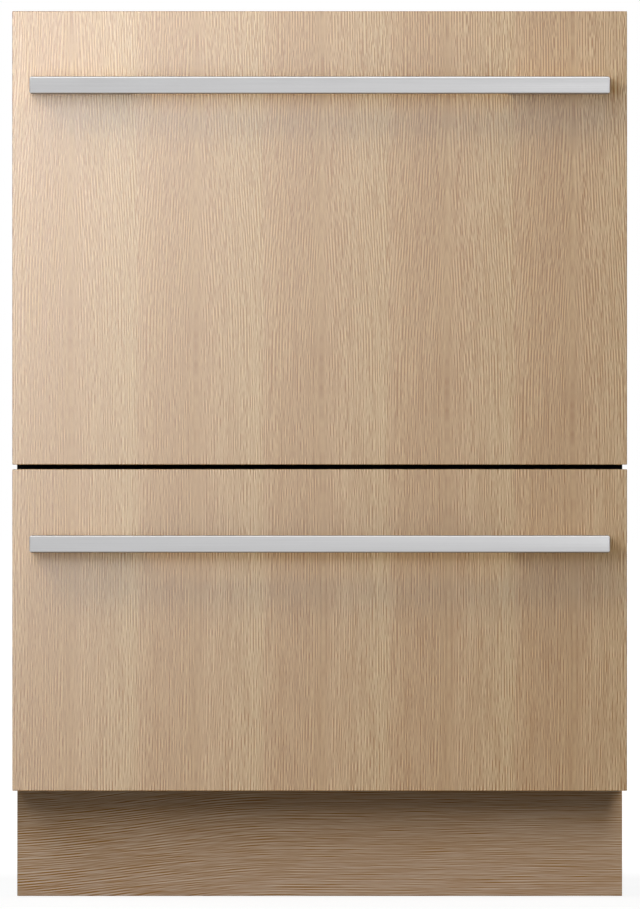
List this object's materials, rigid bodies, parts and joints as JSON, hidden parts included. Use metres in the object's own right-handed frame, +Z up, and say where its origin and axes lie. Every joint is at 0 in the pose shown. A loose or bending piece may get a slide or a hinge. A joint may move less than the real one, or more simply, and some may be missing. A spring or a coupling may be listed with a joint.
{
  "type": "double drawer dishwasher",
  "caption": "Built-in dishwasher with a tall upper and a shorter lower pull-out wash drawer, each with an upright-grain oak front and a full-width flat metal bar handle, over an oak toe kick.",
  "frame": {"origin": "on the floor, midway between the sides and midway between the handles' faces and the back", "axes": "+Z up; the drawers pull out along -Y; +X is the right side seen from the front"},
  "size_m": [0.606, 0.612, 0.874],
  "materials": {
    "galvanised_sheet": "galvanised steel sheet",
    "black_enamel": "satin black paint",
    "oak_toe_kick": "oak veneer, grain lying across",
    "moulded_black": "fine moulded texture",
    "zinc_rail": "zinc-plated rolled steel",
    "oak_veneer": "satin oak veneer, grain upright",
    "brushed_aluminium": "brushed along the bar",
    "carrier_plastic": "fine moulded texture",
    "gloss_black": "polished",
    "button_metal": "brushed",
    "tub_plastic": "smooth moulded",
    "filter_plastic": "moulded with a mesh pattern",
    "spray_plastic": "smooth moulded",
    "coated_wire": "nylon-coated steel wire",
    "dispenser_plastic": "smooth moulded",
    "lid_plastic": "smooth moulded",
    "seal_rubber": "matt"
  },
  "bodies": {
    "cabinet": {"left_side_panel": "galvanised_sheet", "right_side_panel": "galvanised_sheet", "top_panel": "galvanised_sheet", "rear_panel": "galvanised_sheet", "base_tray": "galvanised_sheet", "centre_rail": "black_enamel", "toe_kick": "oak_toe_kick", "control_module": "moulded_black", "upper_left_cabinet_rail": "zinc_rail", "upper_left_lid_actuator": "moulded_black", "upper_right_cabinet_rail": "zinc_rail", "upper_right_lid_actuator": "moulded_black", "lower_left_cabinet_rail": "zinc_rail", "lower_left_lid_actuator": "moulded_black", "lower_right_cabinet_rail": "zinc_rail", "lower_right_lid_actuator": "moulded_black"},
    "front_left_foot": {"front_left_foot": "moulded_black"},
    "front_right_foot": {"front_right_foot": "moulded_black"},
    "rear_left_foot": {"rear_left_foot": "moulded_black"},
    "rear_right_foot": {"rear_right_foot": "moulded_black"},
    "upper_drawer": {"upper_front_panel": "oak_veneer", "upper_handle": "brushed_aluminium", "upper_drawer_carrier": "carrier_plastic", "upper_control_strip": "gloss_black", "upper_tub": "tub_plastic", "upper_left_drawer_rail": "zinc_rail", "upper_right_drawer_rail": "zinc_rail", "upper_wash_pump": "moulded_black", "upper_basket": "coated_wire", "upper_dispenser": "dispenser_plastic"},
    "upper_middle_rails": {"upper_left_middle_rail": "zinc_rail", "upper_right_middle_rail": "zinc_rail"},
    "upper_lid": {"upper_lid": "lid_plastic", "upper_lid_seal": "seal_rubber"},
    "upper_spray_arm": {"upper_spray_arm": "spray_plastic"},
    "upper_drain_filter": {"upper_drain_filter": "filter_plastic"},
    "upper_tine_rack": {"upper_tine_rack": "coated_wire"},
    "upper_dispenser_flap": {"upper_dispenser_flap": "dispenser_plastic"},
    "upper_power_button": {"upper_power_button": "button_metal"},
    "upper_start_button": {"upper_start_button": "button_metal"},
    "lower_drawer": {"lower_front_panel": "oak_veneer", "lower_handle": "brushed_aluminium", "lower_drawer_carrier": "carrier_plastic", "lower_control_strip": "gloss_black", "lower_tub": "tub_plastic", "lower_left_drawer_rail": "zinc_rail", "lower_right_drawer_rail": "zinc_rail", "lower_wash_pump": "moulded_black", "lower_basket": "coated_wire", "lower_dispenser": "dispenser_plastic"},
    "lower_middle_rails": {"lower_left_middle_rail": "zinc_rail", "lower_right_middle_rail": "zinc_rail"},
    "lower_lid": {"lower_lid": "lid_plastic", "lower_lid_seal": "seal_rubber"},
    "lower_spray_arm": {"lower_spray_arm": "spray_plastic"},
    "lower_drain_filter": {"lower_drain_filter": "filter_plastic"},
    "lower_tine_rack": {"lower_tine_rack": "coated_wire"},
    "lower_dispenser_flap": {"lower_dispenser_flap": "dispenser_plastic"},
    "lower_power_button": {"lower_power_button": "button_metal"},
    "lower_start_button": {"lower_start_button": "button_metal"}
  },
  "joints": [
    {"name": "front_left_foot_height", "type": "slide", "parent": "cabinet", "child": "front_left_foot", "axis": [0, 0, -1], "range_m": [-0.02, 0.03]},
    {"name": "front_right_foot_height", "type": "slide", "parent": "cabinet", "child": "front_right_foot", "axis": [0, 0, -1], "range_m": [-0.02, 0.03]},
    {"name": "rear_left_foot_height", "type": "slide", "parent": "cabinet", "child": "rear_left_foot", "axis": [0, 0, -1], "range_m": [-0.02, 0.03]},
    {"name": "rear_right_foot_height", "type": "slide", "parent": "cabinet", "child": "rear_right_foot", "axis": [0, 0, -1], "range_m": [-0.02, 0.03]},
    {"name": "upper_drawer_slide", "type": "slide", "parent": "cabinet", "child": "upper_drawer", "axis": [0, -1, 0], "range_m": [0, 0.45]},
    {"name": "upper_middle_rail_slide", "type": "slide", "parent": "cabinet", "child": "upper_middle_rails", "axis": [0, -1, 0], "range_m": [0, 0.225]},
    {"name": "upper_lid_drop", "type": "slide", "parent": "cabinet", "child": "upper_lid", "axis": [0, 0, -1], "range_m": [0, 0.0125]},
    {"name": "upper_spray_arm_spin", "type": "hinge", "parent": "upper_drawer", "child": "upper_spray_arm", "pos_m": [0, 0.019, 0.4883], "axis": [0, 0, 1], "continuous": true},
    {"name": "upper_filter_twist", "type": "hinge", "parent": "upper_drawer", "child": "upper_drain_filter", "pos_m": [0, 0.137, 0.4773], "axis": [0, 0, 1], "range_deg": [0, 90]},
    {"name": "upper_tine_fold", "type": "hinge", "parent": "upper_drawer", "child": "upper_tine_rack", "pos_m": [0.062, 0.02, 0.5313], "axis": [0, 1, 0], "range_deg": [0, 90]},
    {"name": "upper_dispenser_flap_hinge", "type": "hinge", "parent": "upper_drawer", "child": "upper_dispenser_flap", "pos_m": [-0.108, -0.2069, 0.7541], "axis": [-1, 0, 0], "range_deg": [0, 95]},
    {"name": "upper_power_button_press", "type": "slide", "parent": "upper_drawer", "child": "upper_power_button", "axis": [0, 0, -1], "range_m": [0, 0.0015], "stiffness_N_per_m": 600, "springref_m": -0.0008},
    {"name": "upper_start_button_press", "type": "slide", "parent": "upper_drawer", "child": "upper_start_button", "axis": [0, 0, -1], "range_m": [0, 0.0015], "stiffness_N_per_m": 600, "springref_m": -0.0008},
    {"name": "lower_drawer_slide", "type": "slide", "parent": "cabinet", "child": "lower_drawer", "axis": [0, -1, 0], "range_m": [0, 0.45]},
    {"name": "lower_middle_rail_slide", "type": "slide", "parent": "cabinet", "child": "lower_middle_rails", "axis": [0, -1, 0], "range_m": [0, 0.225]},
    {"name": "lower_lid_drop", "type": "slide", "parent": "cabinet", "child": "lower_lid", "axis": [0, 0, -1], "range_m": [0, 0.0125]},
    {"name": "lower_spray_arm_spin", "type": "hinge", "parent": "lower_drawer", "child": "lower_spray_arm", "pos_m": [0, 0.019, 0.1668], "axis": [0, 0, 1], "continuous": true},
    {"name": "lower_filter_twist", "type": "hinge", "parent": "lower_drawer", "child": "lower_drain_filter", "pos_m": [0, 0.137, 0.1558], "axis": [0, 0, 1], "range_deg": [0, 90]},
    {"name": "lower_tine_fold", "type": "hinge", "parent": "lower_drawer", "child": "lower_tine_rack", "pos_m": [0.062, 0.02, 0.2098], "axis": [0, 1, 0], "range_deg": [0, 90]},
    {"name": "lower_dispenser_flap_hinge", "type": "hinge", "parent": "lower_drawer", "child": "lower_dispenser_flap", "pos_m": [-0.108, -0.2069, 0.3026], "axis": [-1, 0, 0], "range_deg": [0, 95]},
    {"name": "lower_power_button_press", "type": "slide", "parent": "lower_drawer", "child": "lower_power_button", "axis": [0, 0, -1], "range_m": [0, 0.0015], "stiffness_N_per_m": 600, "springref_m": -0.0008},
    {"name": "lower_start_button_press", "type": "slide", "parent": "lower_drawer", "child": "lower_start_button", "axis": [0, 0, -1], "range_m": [0, 0.0015], "stiffness_N_per_m": 600, "springref_m": -0.0008}
  ],
  "couplings": [
    {"joint": "upper_middle_rail_slide", "follows": "upper_drawer_slide", "ratio": 0.5},
    {"joint": "lower_middle_rail_slide", "follows": "lower_drawer_slide", "ratio": 0.5}
  ]
}
